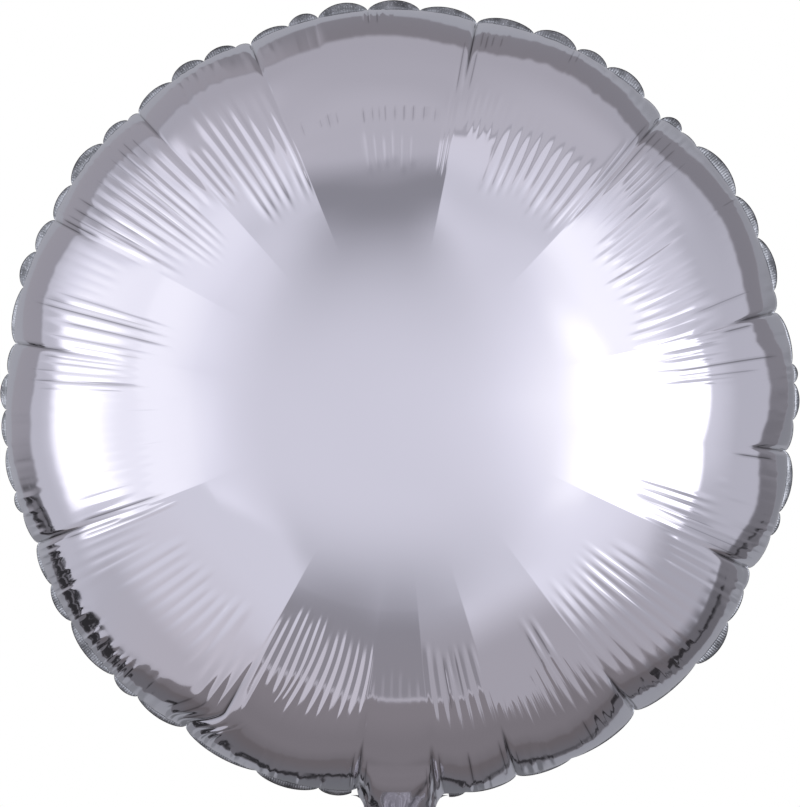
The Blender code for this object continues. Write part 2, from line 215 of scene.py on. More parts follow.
# The neck, as in the solids: half its width, the radius of its shoulders, its folds as the middle and half
# the width of each in mm, its crumples as turns across and down and where they start, in radians and metres,
# and where its parts end
NECK_HALF_WIDTH = 0.0155
SHOULDER_RADIUS = 0.0060
SHOULDER_TOP = -0.1742
NECK_FOLDS = ((-11.0, 1.8), (-6.4, 1.3), (-2.0, 2.1), (3.2, 1.3), (7.2, 1.9), (11.8, 1.1))
CRUMPLES = ((640, 210, 1.0), (-410, 330, 2.2), (180, -560, 0.4))
LEAF_TOP = -0.1860
LEAF_BOTTOM = -0.2335
TAB_BOTTOM = -0.2475
TAB_CORNER = 0.0050
HOLE_CENTRE = -0.2403
HOLE_RADIUS = 0.00325
VALVE_HALF_WIDTH = 0.0115
VALVE_TOP = -0.1685
VALVE_BOTTOM = -0.2355

# The two grooves that slant down below the neck's pleats, as x and z where each starts and ends, in mm, and
# half their width and their depth in metres
NECK_GROOVES = ((-19.0, -164.0, -10.0, -178.5), (13.6, -162.0, 3.6, -177.5))
GROOVE_HALF_WIDTH = 0.0022
GROOVE_DEPTH = 0.0016

# The slope where the film leaves the round of the envelope and runs straight down into the neck, how high
# over the seam it lies there, and how many degrees from the neck's middle it still does so
FUNNEL_SLOPE = math.radians(55)
FUNNEL_PLANE = 0.00022
FUNNEL_HALF_TURN = 5.4

# Where the funnel's film ends, as degrees from the neck's middle and metres from the balloon's middle
FUNNEL_ENDS = ((0, 0.2), (4.43, 0.2), (4.92, 0.1809), (5.5, 0.1772), (6.2, 0.1758), (7.0, 0.1755))

# The two rows of a panel's edge in the weld, as how far each is below the rim and over the seam, and how far
# over the seam both are at the neck
EDGE_ROWS = ((0.0002, 0.00055), (0.0009, 0.0003))
NECK_EDGE = 0.00095

# The neck's films and welds: how far a leaf stands off the middle and its thickness, where its inside ends,
# the width of its sealed borders, the pitch of the sealing wheel, and half a weld's thickness
LEAF_OFFSET = 0.00115
LEAF_THICKNESS = 0.00028
LEAF_INSIDE = 0.00070
BORDER_WIDTH = 0.0030
WHEEL_PITCH = 0.0008
WELD_HALF_THICKNESS = 0.0008

# A ply of the valve: how far it stands off the middle, and its thickness
PLY_OFFSET = 0.00018
PLY_THICKNESS = 0.00009

# The rim's weld: how far in it reaches, how little of it shows between two lobes, and half its opening
WELD_REACH = 0.003
WELD_LEAST = 0.0003
WELD_OPENING = 0.0215

FLOOR_SIDES = 96

# Where the tables above start and end their turn: a place with no gathers
TURN_START = -18.0

# The pleat whose fold leans only where it turns over at the rim, and the share, past the rim, where the
# pleats' own creases end
LATE_PLEAT = 213.6
PLEAT_CREASE_END = 1.03

PLEAT_ANGLES = np.array([puff[0] for puff in PUFFS] + [PUFFS[0][0] + 360])
PLEAT_DEPTHS = np.array([puff[1] / 1000 for puff in PUFFS] + [PUFFS[0][1] / 1000])
CREASES = (
    *((pleat, start, PLEAT_CREASE_END, deep) for pleat, (*_, start, deep) in zip(PLEAT_ANGLES, PLEAT_FOLDS)),
    *FINE_CREASES,
)
LOBE_STARTS = np.array(
    [start for puff in PUFFS for start in (puff[0], *(end for end, _ in puff[2]))] + [PUFFS[0][0] + 360]
)
LOBE_WELDS = np.array([shown / 1000 for puff in PUFFS for shown in (*(s for _, s in puff[2]), puff[3])])

# What settings of one kind share
A_COLOUR = {"subtype": "COLOR", "size": 3, "min": 0, "max": 1}
A_SHARE = {"subtype": "FACTOR", "min": 0}
A_LENGTH = {"subtype": "DISTANCE", "unit": "LENGTH"}


class BalloonFilm(bpy.types.PropertyGroup):
    """The sizes and the colour of the two silver panels."""

    colour: bpy.props.FloatVectorProperty(
        name="Film colour",
        description="Colour of the metallised film",
        default=(0.80, 0.80, 0.845),
        **A_COLOUR,
    )
    roughness: bpy.props.FloatProperty(
        name="Film roughness",
        description="How soft the film's reflections are",
        max=1,
        default=0.075,
        **A_SHARE,
    )
    flatness: bpy.props.FloatProperty(
        name="Facet flatness",
        description="How flat the film lies between two pleats, half way out",
        max=1,
        default=1.0,
        **A_SHARE,
    )
    gather: bpy.props.FloatProperty(
        name="Gather height",
        description="Height of the fine gathers, as a share of the real ones",
        max=2,
        default=1.0,
        **A_SHARE,
    )


class BalloonWeld(bpy.types.PropertyGroup):
    """The sizes and the colour of the heat seals."""

    colour: bpy.props.FloatVectorProperty(
        name="Weld colour",
        description="Colour of the film where it is heat sealed",
        default=(0.26, 0.275, 0.285),
        **A_COLOUR,
    )
    ridges: bpy.props.IntProperty(
        name="Ridges round the rim",
        description="How many ridges the sealing wheel leaves round the rim",
        min=200,
        max=1400,
        default=1000,
    )
    ridge: bpy.props.FloatProperty(
        name="Ridge height",
        description="Height of those ridges",
        min=0,
        max=0.0003,
        precision=5,
        default=0.00009,
        **A_LENGTH,
    )
    thickness: bpy.props.FloatProperty(
        name="Weld thickness",
        description="Thickness of the sealed edge",
        min=0.0002,
        max=0.0011,
        precision=5,
        default=0.0007,
        **A_LENGTH,
    )


class BalloonNeck(bpy.types.PropertyGroup):
    """The sizes of the neck and its valve."""

    fold: bpy.props.FloatProperty(
        name="Fold height",
        description="Height of the folds down the neck, as a share of the real ones",
        max=2,
        default=1.0,
        **A_SHARE,
    )
    valve_colour: bpy.props.FloatVectorProperty(
        name="Valve colour",
        description="Colour of the clear film of the valve",
        default=(0.86, 0.88, 0.90),
        **A_COLOUR,
    )


class BalloonStudio(bpy.types.PropertyGroup):
    """The camera, the light and the floor."""

    distance: bpy.props.FloatProperty(
        name="Camera distance",
        description="From the camera to the middle of the balloon",
        min=0.5,
        max=5,
        default=2.2,
        **A_LENGTH,
    )
    view_height: bpy.props.FloatProperty(
        name="View height",
        description="Height of what the camera sees at the balloon",
        min=0.1,
        max=1,
        default=0.3589,
        **A_LENGTH,
    )
    floor_drop: bpy.props.FloatProperty(
        name="Floor drop",
        description="From the middle of the balloon down to the floor",
        min=0.3,
        max=3,
        default=0.9,
        **A_LENGTH,
    )
    floor_radius: bpy.props.FloatProperty(
        name="Floor radius",
        description="Radius of the round floor",
        min=0.5,
        max=5,
        default=2.6,
        **A_LENGTH,
    )
    light: bpy.props.FloatProperty(
        name="Light",
        description="Strength of the studio light",
        min=0,
        max=4,
        default=1.0,
    )


class Socket:
    """One output in a node tree. Arithmetic on it adds Math nodes."""

    def __init__(self, tree, output=None):
        self.tree = tree
        self.output = output

    def node(self, kind, settings=None, sockets=None, output=0):
        """The output of a new node, from its type, its settings and the values or links of its sockets."""
        node = self.tree.nodes.new(kind)
        for name, value in (settings or {}).items():
            if name == "stops":
                stops = node.color_ramp.elements
                while len(stops) < len(value):
                    stops.new(1.0)
                for stop, (place, colour) in zip(stops, value):
                    stop.position = place
                    stop.color = colour
            else:
                setattr(node, name, value)
        for name, value in (sockets or {}).items():
            if isinstance(value, Socket):
                self.tree.links.new(value.output, node.inputs[name])
            else:
                node.inputs[name].default_value = value
        return Socket(self.tree, node.outputs[output])

    def math(self, operation, *values):
        """The output of a new Math node."""
        return self.node("ShaderNodeMath", {"operation": operation}, dict(enumerate(values)))

    def step(self, low, high):
        """0 below low, 1 above high, and a smooth step between them. The other way round if low is higher."""
        places = {"Value": self, "From Min": low, "From Max": high}
        return self.node("ShaderNodeMapRange", {"interpolation_type": "SMOOTHSTEP"}, places)

    def over(self, start, full, last, end):
        """0 below start, 1 from full to last, 0 above end, and smooth steps between them."""
        return self.step(start, full) * self.step(end, last)

    def __add__(self, other):
        return self.math("ADD", self, other)

    def __sub__(self, other):
        return self.math("SUBTRACT", self, other)

    def __rsub__(self, other):
        return self.math("SUBTRACT", other, self)

    def __mul__(self, other):
        return self.math("MULTIPLY", self, other)

    def __neg__(self):
        return self.math("MULTIPLY", self, -1)

    __radd__ = __add__
    __rmul__ = __mul__


def noise(place, scale, detail):
    """A noise pattern between 0 and 1."""
    return place.node("ShaderNodeTexNoise", None, {"Vector": place, "Scale": scale, "Detail": detail}, "Fac")


def mixed(factor, first, second):
    """One colour where the factor is 0, and another where it is 1. Sockets 6 and 7 of a Mix node take the
    two colours, and its output 2 gives their mix."""
    return factor.node("ShaderNodeMix", {"data_type": "RGBA"}, {"Factor": factor, 6: first, 7: second}, 2)


def ramp(factor, *stops):
    """A colour from stops, each a place between 0 and 1 and its colour."""
    return factor.node("ShaderNodeValToRGB", {"stops": stops}, {"Fac": factor}, "Color")


def bump(height, strength, distance, **others):
    """The normal of a surface that rises by a height between 0 and 1 times a distance."""
    sockets = {"Height": height, "Strength": strength, "Distance": distance, **others}
    return height.node("ShaderNodeBump", None, sockets, "Normal")


def mark(place, name):
    """One of a piece's own marks."""
    return place.node("ShaderNodeAttribute", {"attribute_name": name}, output="Fac")


def smoothstep(low, high, value):
    """0 below low, 1 above high, and share squared times (3 - 2 share) between them."""
    share = np.clip((value - low) / (high - low), 0, 1)
    return share * share * (3 - 2 * share)


def apart(angles, place):
    """How many degrees each angle is from a place, the shorter way round."""
    return np.abs((angles - place + 180) % 360 - 180)


def between(starts, angles):
    """Which stretch of the rim each angle falls in, and its share of the way along it."""
    turned = (angles - starts[0]) % 360 + starts[0]
    index = np.clip(np.searchsorted(starts, turned, side="right") - 1, 0, len(starts) - 2)
    return index, (turned - starts[index]) / (starts[index + 1] - starts[index])


def hump(share, sharpness):
    """The sine of half a turn over a stretch, raised to a power: 1 in its middle and 0 at its ends."""
    return np.maximum(np.sin(np.pi * share), 0) ** sharpness


def pleat_dip(index, share, sharpness):
    """How far the pleats draw the film in: the depth of the nearest ones times 1 less the puff's hump."""
    depth = PLEAT_DEPTHS[index] + (PLEAT_DEPTHS[index + 1] - PLEAT_DEPTHS[index]) * share
    return depth * (1 - hump(share, sharpness))


def notch_dip(angles):
    """How far the notches between the lobes of the rim draw it in."""
    _, share = between(LOBE_STARTS, angles)
    return NOTCH_DEPTH * (1 - hump(share, 0.5))


def rim_radius(angles):
    """The envelope's radius less the dips of the pleats and the notches, at the seam."""
    return RADIUS - pleat_dip(*between(PLEAT_ANGLES, angles), 0.35) - notch_dip(angles)


def envelope_depth(slopes):
    """Half the radius times the integral of the root of the sine of the slope, from there to the rim."""
    fine = np.linspace(0, np.pi / 2, 3601)
    middles = (fine[1:] + fine[:-1]) / 2
    area = np.concatenate(([0], np.cumsum(np.sqrt(np.sin(middles))))) * (fine[1] - fine[0])
    return RADIUS / 2 * (area[-1] - np.interp(slopes, fine, area))


def ring_slopes():
    """Slopes of the film at the rings: even steps of share over the gathers, and of slope near the rim."""
    inner = np.arcsin(np.linspace(0.04, 0.5, 13) ** 2)
    middle = np.arcsin(np.linspace(0.5, 0.9, 46)[1:] ** 2)
    outer = np.linspace(middle[-1], np.pi / 2, 27)[1:]
    return np.concatenate((inner, middle, outer))


def along_rows(rows, parts):
    """Angles all along each row of gathers, a few to each gather."""
    return [place for first, last, count, *_ in rows for place in np.linspace(first, last, count * parts + 1)]


def spoke_angles():
    """The angles of the spokes: on the pleats and creases first, then beside the pleats, at the notches and
    the neck, and on the puckers and gathers, each where no other is too near, and last at even steps."""
    beside = [side * step for step in (0.4, 0.7, 1.1, 1.6, 2.3) for side in (-1, 1)]
    wanted = (
        (PLEAT_ANGLES, 0.1),
        ([crease + step for crease, *_ in CREASES for step in (0, 0.17, -0.17)], 0.12),
        ([pleat + step for step in beside for pleat in PLEAT_ANGLES], 0.2),
        ([notch + step for notch in LOBE_STARTS for step in (-0.3, 0, 0.3)], 0.2),
        (np.arange(172.4, 187.8, 0.35), 0.2),
        (along_rows(PUCKERS, 2), 0.22),
        (along_rows(GATHERS, 6), 0.22),
        (np.arange(TURN_START, TURN_START + 360, 1.0), 0.3),
    )
    kept = np.array([TURN_START])
    for places, gap in wanted:
        for angle in (np.array(places) - TURN_START) % 360 + TURN_START:
            if np.min(apart(kept, angle)) > gap:
                kept = np.append(kept, angle)
    return np.sort(kept)


def spoke_drift(angles, shares):
    """How far each spoke turns as it runs inwards: the lean of its pleat and the slant of its gathers, each
    averaged over a few degrees, so that no spoke crosses the next. It turns sooner near LATE_PLEAT."""
    fine = np.arange(TURN_START, TURN_START + 360, 0.5)
    places = [place for first, last, *_ in GATHERS for place in (first, last)]
    slants = [slant for row in GATHERS for slant in row[6:8]]
    places += list((PLEAT_ANGLES[:-1] - TURN_START) % 360 + TURN_START)
    slants += [row[1] for row in PLEAT_FOLDS]
    order = np.argsort(places, kind="stable")
    slant = np.interp(fine, np.array(places)[order], np.array(slants)[order], period=360)
    window = np.hanning(15)
    padded = np.concatenate((slant[-7:], slant, slant[:7]))
    slant = np.convolve(padded, window / window.sum(), mode="valid")
    drift = np.interp(angles, fine, slant, period=360)
    late = 1 - smoothstep(2, 13, apart(angles, LATE_PLEAT))
    low, high = 0.60 + 0.28 * late, 0.93 + 0.06 * late
    return drift[None, :] * (1 - smoothstep(low[None, :], high[None, :], shares[:, None]))


def across_puff(angles, shares):
    """How far across its puff each spoke is, from 0 to 1, at each share, and half the puff's width there."""
    index, _ = between(PLEAT_ANGLES, angles)
    pleats = PLEAT_ANGLES[None, :] + spoke_drift(PLEAT_ANGLES, shares)
    first, last = pleats[:, index], pleats[:, index + 1]
    places = (angles - PLEAT_ANGLES[0]) % 360 + PLEAT_ANGLES[0]
    across = (places[None, :] + spoke_drift(angles, shares) - first) / (last - first)
    return np.clip(across, 0, 1), np.radians(last - first) / 2


def facets(angles, shares, slopes, flatness):
    """The film lies flat across a puff, half way out: it rises from the puff's middle with half the
    square of the angle off it, so that its normals all lean the same way. The borders stand level."""
    index, share = between(PLEAT_ANGLES, angles)
    across, half = across_puff(angles, shares)
    off = (2 * across - 1) * half
    ends = np.array([row[2] for row in PLEAT_FOLDS])
    near = np.where(share < 0.5, (index - 1) % len(ends), (index + 1) % len(ends))
    blend = (1 - smoothstep(0, 0.12, np.minimum(share, 1 - share))) / 2
    ends = ends[index] + (ends[near] - ends[index]) * blend
    strength = flatness * smoothstep(0.40, 0.56, shares)[:, None]
    strength = strength * (1 - smoothstep(0, 1, (shares[:, None] - ends[None, :] + 0.20) / 0.20))
    rise = off**2 / 2 - half**2 / 2 + 0.015
    return RADIUS * strength * (shares * np.tan(np.minimum(slopes, 1.2)))[:, None] * rise


def off_by(angles, place, shares):
    """How far each spoke runs from one place on the rim, along the film, at each share."""
    return np.radians(apart(angles, place))[None, :] * RADIUS * shares[:, None]


def folds(angles, shares):
    """Each pleat's fold: a narrow valley, deep at the rim and thin further in, in a wide shallow one."""
    depth = np.zeros((len(shares), len(angles)))
    for pleat, deep, (inner, *_) in zip(PLEAT_ANGLES, PLEAT_DEPTHS, PLEAT_FOLDS):
        away = off_by(angles, pleat, shares)
        along = smoothstep(inner, inner + 0.10, shares)
        at_rim = smoothstep(0.82, 0.985, shares)
        narrow = np.clip(1 - away / (0.0011 + 0.0011 * at_rim[:, None]), 0, 1) ** 1.2
        wide = np.clip(1 - away / 0.0070, 0, 1) ** 2
        fade = 1 - smoothstep(0.985, 1.0, shares)
        depth += (deep * 0.06 * along + deep * 0.26 * at_rim * fade)[:, None] * narrow
        depth += (deep * 0.14 * along * (1 - at_rim))[:, None] * wide
    return depth


def creases(angles, shares):
    """The sharp creases: thin straight-sided valleys, and the painted shade along them, as how dark each
    place is.
    """
    depth = np.zeros((len(shares), len(angles)))
    dark = np.zeros((len(shares), len(angles)))
    for place, inner, outer, deep in CREASES:
        away = off_by(angles, place, shares)
        third = (outer - inner) / 3
        along = smoothstep(inner, inner + third, shares) * (1 - smoothstep(outer - third / 2, outer, shares))
        wide = 0.0006 + deep / 1000
        depth += along[:, None] * deep / 1000 * np.clip(1 - away / wide, 0, 1)
        # the painted shade along the crease, strongest in the deeper ones
        strength = along[:, None] * min(1, deep / 0.28)
        dark = np.maximum(dark, strength * np.clip(1 - away / (0.75 * wide), 0, 1))
    return depth, dark


def row_cells(angles, first, last, count):
    """Which spokes a row of gathers holds, how far along it each is, and which gather each is on."""
    inside = (angles >= first) & (angles < last)
    along = (angles[inside] - first) / (last - first) * count
    return inside, along, np.minimum(along.astype(int), count - 1)


def gathers(angles, shares, seed):
    """Rows of small gathers: each one's height is its steepness times its width over pi, times a power of
    the sine across it, skewed to one side, times a window that rises and falls between its two ends."""
    rng = np.random.default_rng(seed)
    lift = np.zeros((len(shares), len(angles)))
    for first, last, count, inner, outer, steep, _, _, lean in GATHERS:
        strength = rng.uniform(0.75, 1.15, count)
        skew = lean * rng.uniform(0.85, 1.2, count)
        starts = inner + rng.uniform(-0.015, 0.018, count)
        ends = outer + 0.035 + rng.uniform(-0.03, 0.02, count)
        inside, along, cell = row_cells(angles, first, last, count)
        width = math.radians((last - first) / count) * RADIUS * (inner + outer) / 2
        height = 1.35 * math.tan(math.radians(steep)) * width / math.pi
        length = outer - inner
        rise = smoothstep(starts[None, :], starts[None, :] + 0.28 * length, shares[:, None])
        fall = 1 - np.clip((shares[:, None] - ends[None, :] + 0.45 * length) / (0.45 * length), 0, 1) ** 1.4
        window = (height * strength * rise * fall)[:, cell]
        across = np.clip(along - cell, 0, 1) ** skew[cell]
        lift[:, inside] += window * np.sin(np.pi * across)[None, :] ** 1.1
    return lift


def puckers(angles, shares, seed):
    """The puckers at the rim: the sine of half a turn across each one, as steep as its row says, times a
    random strength and a smooth rise from a random start."""
    rng = np.random.default_rng(seed + 50)
    lift = np.zeros((len(shares), len(angles)))
    for first, last, count, inner, steep in PUCKERS:
        strength = rng.uniform(0.4, 2.0, count)
        starts = inner + rng.uniform(-0.012, 0.012, count)
        inside, along, cell = row_cells(angles, first, last, count)
        height = math.tan(math.radians(steep)) * math.radians((last - first) / count) * RADIUS / math.pi
        rise = smoothstep(starts[None, :], starts[None, :] + 0.03, shares[:, None])
        fade = 1 - 0.75 * smoothstep(0.975, 1.0, shares)
        window = height * strength * rise * fade[:, None]
        lift[:, inside] += window[:, cell] * np.sin(np.pi * (along - cell))[None, :]
    return lift


def crinkle(angles, shares, seed):
    """Small uneven ripples where the film turns over at the rim: a random value at each spoke, averaged with
    its neighbours, times a slower random strength and a window near the rim."""
    rng = np.random.default_rng(seed + 100)
    fine = rng.normal(0, 1, len(angles))
    soft = (np.roll(fine, 1) + 2 * fine + np.roll(fine, -1)) / 4
    broad = np.convolve(np.concatenate((fine[-6:], fine, fine[:6])), np.hanning(13) / 6, mode="valid")
    places = np.arange(TURN_START, TURN_START + 361, 6.0)
    strength = np.interp(angles, places, rng.uniform(0.2, 1.6, len(places)))
    window = smoothstep(0.86, 0.95, shares) * (1 - 0.5 * smoothstep(0.985, 1.0, shares))
    return window[:, None] * (strength * (0.00013 * soft + 0.00012 * broad))[None, :]


def neck_edge(z):
    """Half the neck's width at a height: a quarter circle in its shoulders, and even below them."""
    down = np.clip((SHOULDER_TOP - z) / SHOULDER_RADIUS, 0, 1)
    return NECK_HALF_WIDTH + SHOULDER_RADIUS * (1 - np.sqrt(1 - (1 - down) ** 2))


def off_fold(x, z, place, half):
    """How far each point is from the middle of one of the neck's folds, in halves of its width. The folds
    lean outwards as they run up."""
    lean = 0.05 * (z + 0.19) * np.sign(place)
    return np.abs(1000 * (x - lean) - place) / half


def inside_neck(x):
    """1 between the neck's sealed borders, and 0 on them."""
    return 1 - smoothstep(NECK_HALF_WIDTH - 1.5 * BORDER_WIDTH, NECK_HALF_WIDTH - BORDER_WIDTH, np.abs(x))


def neck_folds(x, z, fold):
    """The folds that run down the neck: ridges side by side, strongest where it begins, with crumples across
    them, each 1 less the size of a sine along a slanting line."""
    lift = np.zeros(np.broadcast(x, z).shape)
    crumpled = np.zeros(lift.shape)
    for place, half in NECK_FOLDS:
        lift += np.clip(1 - off_fold(x, z, place, half) ** 1.4, 0, 1) ** 1.3 * half / 4.2
    for along, down, start in CRUMPLES:
        crumpled += 0.24 * (1 - np.abs(np.sin(along * x + down * z + start)))
    lift = lift * smoothstep(-0.179, -0.198, z) + crumpled * smoothstep(-0.173, -0.184, z)
    return fold * lift / 1000 * inside_neck(x) * (0.35 + 0.65 * smoothstep(-0.215, -0.192, z))


def neck_grooves(x, z):
    """The two slanting grooves: 1 along the middle of each, down to 0 at its sides and at its ends."""
    deep = np.zeros(x.shape)
    for top_x, top_z, low_x, low_z in NECK_GROOVES:
        middle = np.interp(-1000 * z, (-top_z, -low_z), (top_x, low_x)) / 1000
        along = smoothstep(top_z + 1, top_z - 3, 1000 * z) * smoothstep(low_z - 4, low_z, 1000 * z)
        deep = np.maximum(deep, along * np.clip(1 - np.abs(x - middle) / GROOVE_HALF_WIDTH, 0, 1))
    return deep


def funnel(radii, depths, angles, slopes, fold):
    """Draws the film out into the neck between its two pleats. From FUNNEL_SLOPE on it runs on straight,
    then bends onto the neck's plane, with an exponential's soft corner. Across, it falls off to the neck's
    edge as the root of 1 less the fourth power. The radius runs on past the rim, to the neck's leaf."""
    away = np.abs(angles % 360 - 180)
    start = RADIUS * math.sqrt(math.sin(FUNNEL_SLOPE))
    start_depth = float(envelope_depth(FUNNEL_SLOPE))
    meets = start + (start_depth - FUNNEL_PLANE) / math.tan(FUNNEL_SLOPE)
    ends = np.interp(away, *zip(*FUNNEL_ENDS))
    ends = ends + (radii[-1] - ends) * smoothstep(FUNNEL_HALF_TURN, FUNNEL_HALF_TURN + 1.5, away)
    share = np.clip((slopes - FUNNEL_SLOPE) / (math.pi / 2 - FUNNEL_SLOPE), 0, 1)
    longer = radii + (ends - radii[-1])[None, :] * share[:, None]
    x = longer * np.sin(np.radians(away))[None, :]
    z = -longer * np.cos(np.radians(away))[None, :]
    soft = 0.0022
    straight = FUNNEL_PLANE + soft * np.log1p(np.exp((meets - longer) * math.tan(FUNNEL_SLOPE) / soft))
    across = np.sqrt(np.clip(1 - (x / (neck_edge(z) + 0.0004)) ** 4, 0, 1))
    drawn = FUNNEL_PLANE + (straight - FUNNEL_PLANE) * across
    drawn = drawn + neck_folds(x * np.sign(180 - angles % 360)[None, :], z, fold)
    weight = smoothstep(0, 0.45, share)[:, None] * (1 - smoothstep(4.6, 6.6, away))[None, :]
    return longer, depths + (drawn - depths) * weight


def film_points(side, seed, film, fold):
    """A panel's points, ring by ring, and the painted shade of its creases, its grooves and the valleys
    between the neck's folds. The radius is R times the root of the sine of the slope, and the depth its
    integral.
    Pleats, gathers and folds push it along its normal, and facets, the funnel and the grooves along Y."""
    slopes = ring_slopes()
    shares = np.sqrt(np.sin(slopes))
    angles = spoke_angles()
    degrees = np.degrees(slopes)
    at_rim = smoothstep(42, 80, degrees)[:, None]
    sharpness = 1.3 - 0.95 * smoothstep(66, 90, degrees)[:, None]
    crease, dark = creases(angles, shares)
    dent = pleat_dip(between(PLEAT_ANGLES, angles)[0], across_puff(angles, shares)[0], sharpness) * at_rim
    dent = dent + notch_dip(angles)[None, :] * smoothstep(72, 90, degrees)[:, None]
    dent = dent + folds(angles, shares) + crease - film.gather * gathers(angles, shares, seed)
    dent = dent - crinkle(angles, shares, seed) - puckers(angles, shares, seed)
    radii = RADIUS * shares[:, None] - dent * np.sin(slopes)[:, None]
    depths = envelope_depth(slopes)[:, None] - dent * np.cos(slopes)[:, None]
    depths = depths + facets(angles, shares, slopes, film.flatness)
    radii, depths = funnel(radii, depths, angles, slopes, fold)
    turned = np.radians(angles[None, :] + spoke_drift(angles, shares))
    groove = neck_grooves(radii * np.sin(turned), radii * np.cos(turned)) * smoothstep(0.002, 0.007, depths)
    depths = depths + SEAM_HALF_GAP - GROOVE_DEPTH * groove
    # painted shade in the grooves, darkest along their middles
    dark = np.maximum(dark, 0.85 * groove**2)
    at_neck = np.abs(angles % 360 - 180) < FUNNEL_HALF_TURN
    for drop, height in EDGE_ROWS:
        radii = np.vstack((radii, radii[len(slopes) - 1] - drop))
        depths = np.vstack((depths, np.where(at_neck, NECK_EDGE, height)))
        turned = np.vstack((turned, turned[-1]))
        dark = np.vstack((dark, dark[-1]))
    x, z = radii * np.sin(turned), radii * np.cos(turned)
    near_neck = (np.abs(x) < NECK_HALF_WIDTH) & (z < -0.16)
    # painted shade in the valleys between the neck's folds, on the film that lies near the neck
    dark = np.maximum(dark, np.where(near_neck, leaf_valley_shade(x, z) * smoothstep(0.014, 0.004, depths), 0))
    points = np.stack((x, side * depths, z), axis=-1)
    pole = np.array([0.0, side * (envelope_depth(0.0) + SEAM_HALF_GAP), 0.0])
    return points, pole, dark


def grid_faces(rows, columns, closed, flipped, first=0):
    """The faces of a grid of points, row by row. A closed one joins its last column to its first."""
    across = np.arange(columns if closed else columns - 1)
    after = (across + 1) % columns
    start = first + np.arange(rows - 1)[:, None] * columns
    corners = [start + across, start + after, start + columns + after, start + columns + across]
    if flipped:
        corners.reverse()
    return np.stack(corners, axis=-1).reshape(-1, 4)


def shell(front, back, closed, turned):
    """The points and faces of a closed shell from the grids of its two sides. The sides are joined along
    their edges, and closed ones along their first and last rows only. A turned one has its sides swapped."""
    if turned:
        front, back = back, front
    rows, columns = front.shape[:2]
    count = rows * columns
    index = np.arange(count).reshape(rows, columns)
    round_edge = np.concatenate((index[0], index[1:, -1], index[-1][::-1][1:], index[::-1, 0][1:]))
    rims = [index[0], index[-1][::-1]] if closed else [round_edge]
    faces = [grid_faces(rows, columns, closed, False), grid_faces(rows, columns, closed, True, count)]
    for rim in rims:
        after = np.roll(rim, -1) if closed else rim[1:]
        rim = rim if closed else rim[:-1]
        faces.append(np.stack((rim, rim + count, after + count, after), axis=-1))
    return np.vstack((front.reshape(-1, 3), back.reshape(-1, 3))), np.vstack(faces)


def new_piece(name, points, faces, material, replaced, marks=None):
    """A smooth mesh from points and faces, which stands for its CAD nodes and rides on the balloon. Marks
    are named numbers, one for each point, that its material reads."""
    mesh = bpy.data.meshes.new(name)
    mesh.from_pydata(np.reshape(points, (-1, 3)).tolist(), [], [list(face) for face in faces])
    mesh.shade_smooth()
    mesh.materials.append(material)
    for title, values in (marks or {}).items():
        numbers = np.ravel(values).astype(np.float32)
        mesh.attributes.new(title, "FLOAT", "POINT").data.foreach_set("value", numbers)
    piece = bpy.data.objects.new(name, mesh)
    bpy.context.scene.collection.objects.link(piece)
    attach(piece, "root")
    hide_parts(*replaced)
    return piece


def new_material(name):
    """A material, its Principled shader and the place of each point in object coordinates."""
    material = bpy.data.materials.new(name)
    material.use_nodes = True
    place = Socket(material.node_tree).node("ShaderNodeTexCoord", output="Object")
    return material, material.node_tree.nodes["Principled BSDF"], place


def plug(socket, shader, name):
    """Links a socket to one of a shader's inputs."""
    socket.tree.links.new(socket.output, shader.inputs[name])


def shaded(colour, *factors):
    """A colour with its parts times one factor, or one each, and full alpha."""
    return (*np.multiply(colour, factors).tolist(), 1)


def film_material(film):
    """Metallised film: a mirror with a little haze, faint cloudy ripples and a finer rolled grain. Painted
    shade makes its creases, grooves and fold valleys near black, and a sealed border is duller."""
    material, shader, place = new_material("mirror_film")
    shader.inputs["Metallic"].default_value = 1
    cloud = noise(place, 30, 2)
    sealed = mark(place, "sealed")
    pressed = mixed(sealed, shaded(film.colour, 1), shaded(film.colour, 0.62, 0.62, 0.60))
    # painted shade: the crease mark mixes the colour towards near black in creases, grooves and fold valleys
    plug(mixed(mark(place, "crease"), pressed, (0.05, 0.05, 0.055, 1)), shader, "Base Color")
    plug((cloud - 0.5) * 0.04 + film.roughness + sealed * 0.14, shader, "Roughness")
    soft = bump(cloud, 0.10, 0.0004)
    plug(bump(noise(place, 900, 3), 0.05, 0.00005, Normal=soft), shader, "Normal")
    return material


def weld_material(weld):
    """Heat-sealed film: pale and plain next to the panels, and darker and duller where the wheel pressed it,
    most at the cut edge, all in patches."""
    material, shader, place = new_material("sealed_film")
    shader.inputs["Metallic"].default_value = 1
    patch = noise(place, 160, 3)
    pressed = mark(place, "pressed")
    cell = place.node("ShaderNodeTexVoronoi", None, {"Vector": place, "Scale": 950}, "Distance")
    light = (*(min(1, 2.2 * part) for part in weld.colour), 1)
    worn = pressed + ((0.5 - patch) * 1.2 + 0.10 - 0.45 * cell.step(0.40, 0.15)) * pressed.step(0.0, 0.5)
    shades = ((0.0, light), (0.5, shaded(weld.colour, 1.15)), (1.0, shaded(weld.colour, 0.15)))
    plug(ramp(worn, *shades), shader, "Base Color")
    plug(patch * 0.25 + 0.12, shader, "Roughness")
    plug(bump(patch, 0.4, 0.0001), shader, "Normal")
    return material


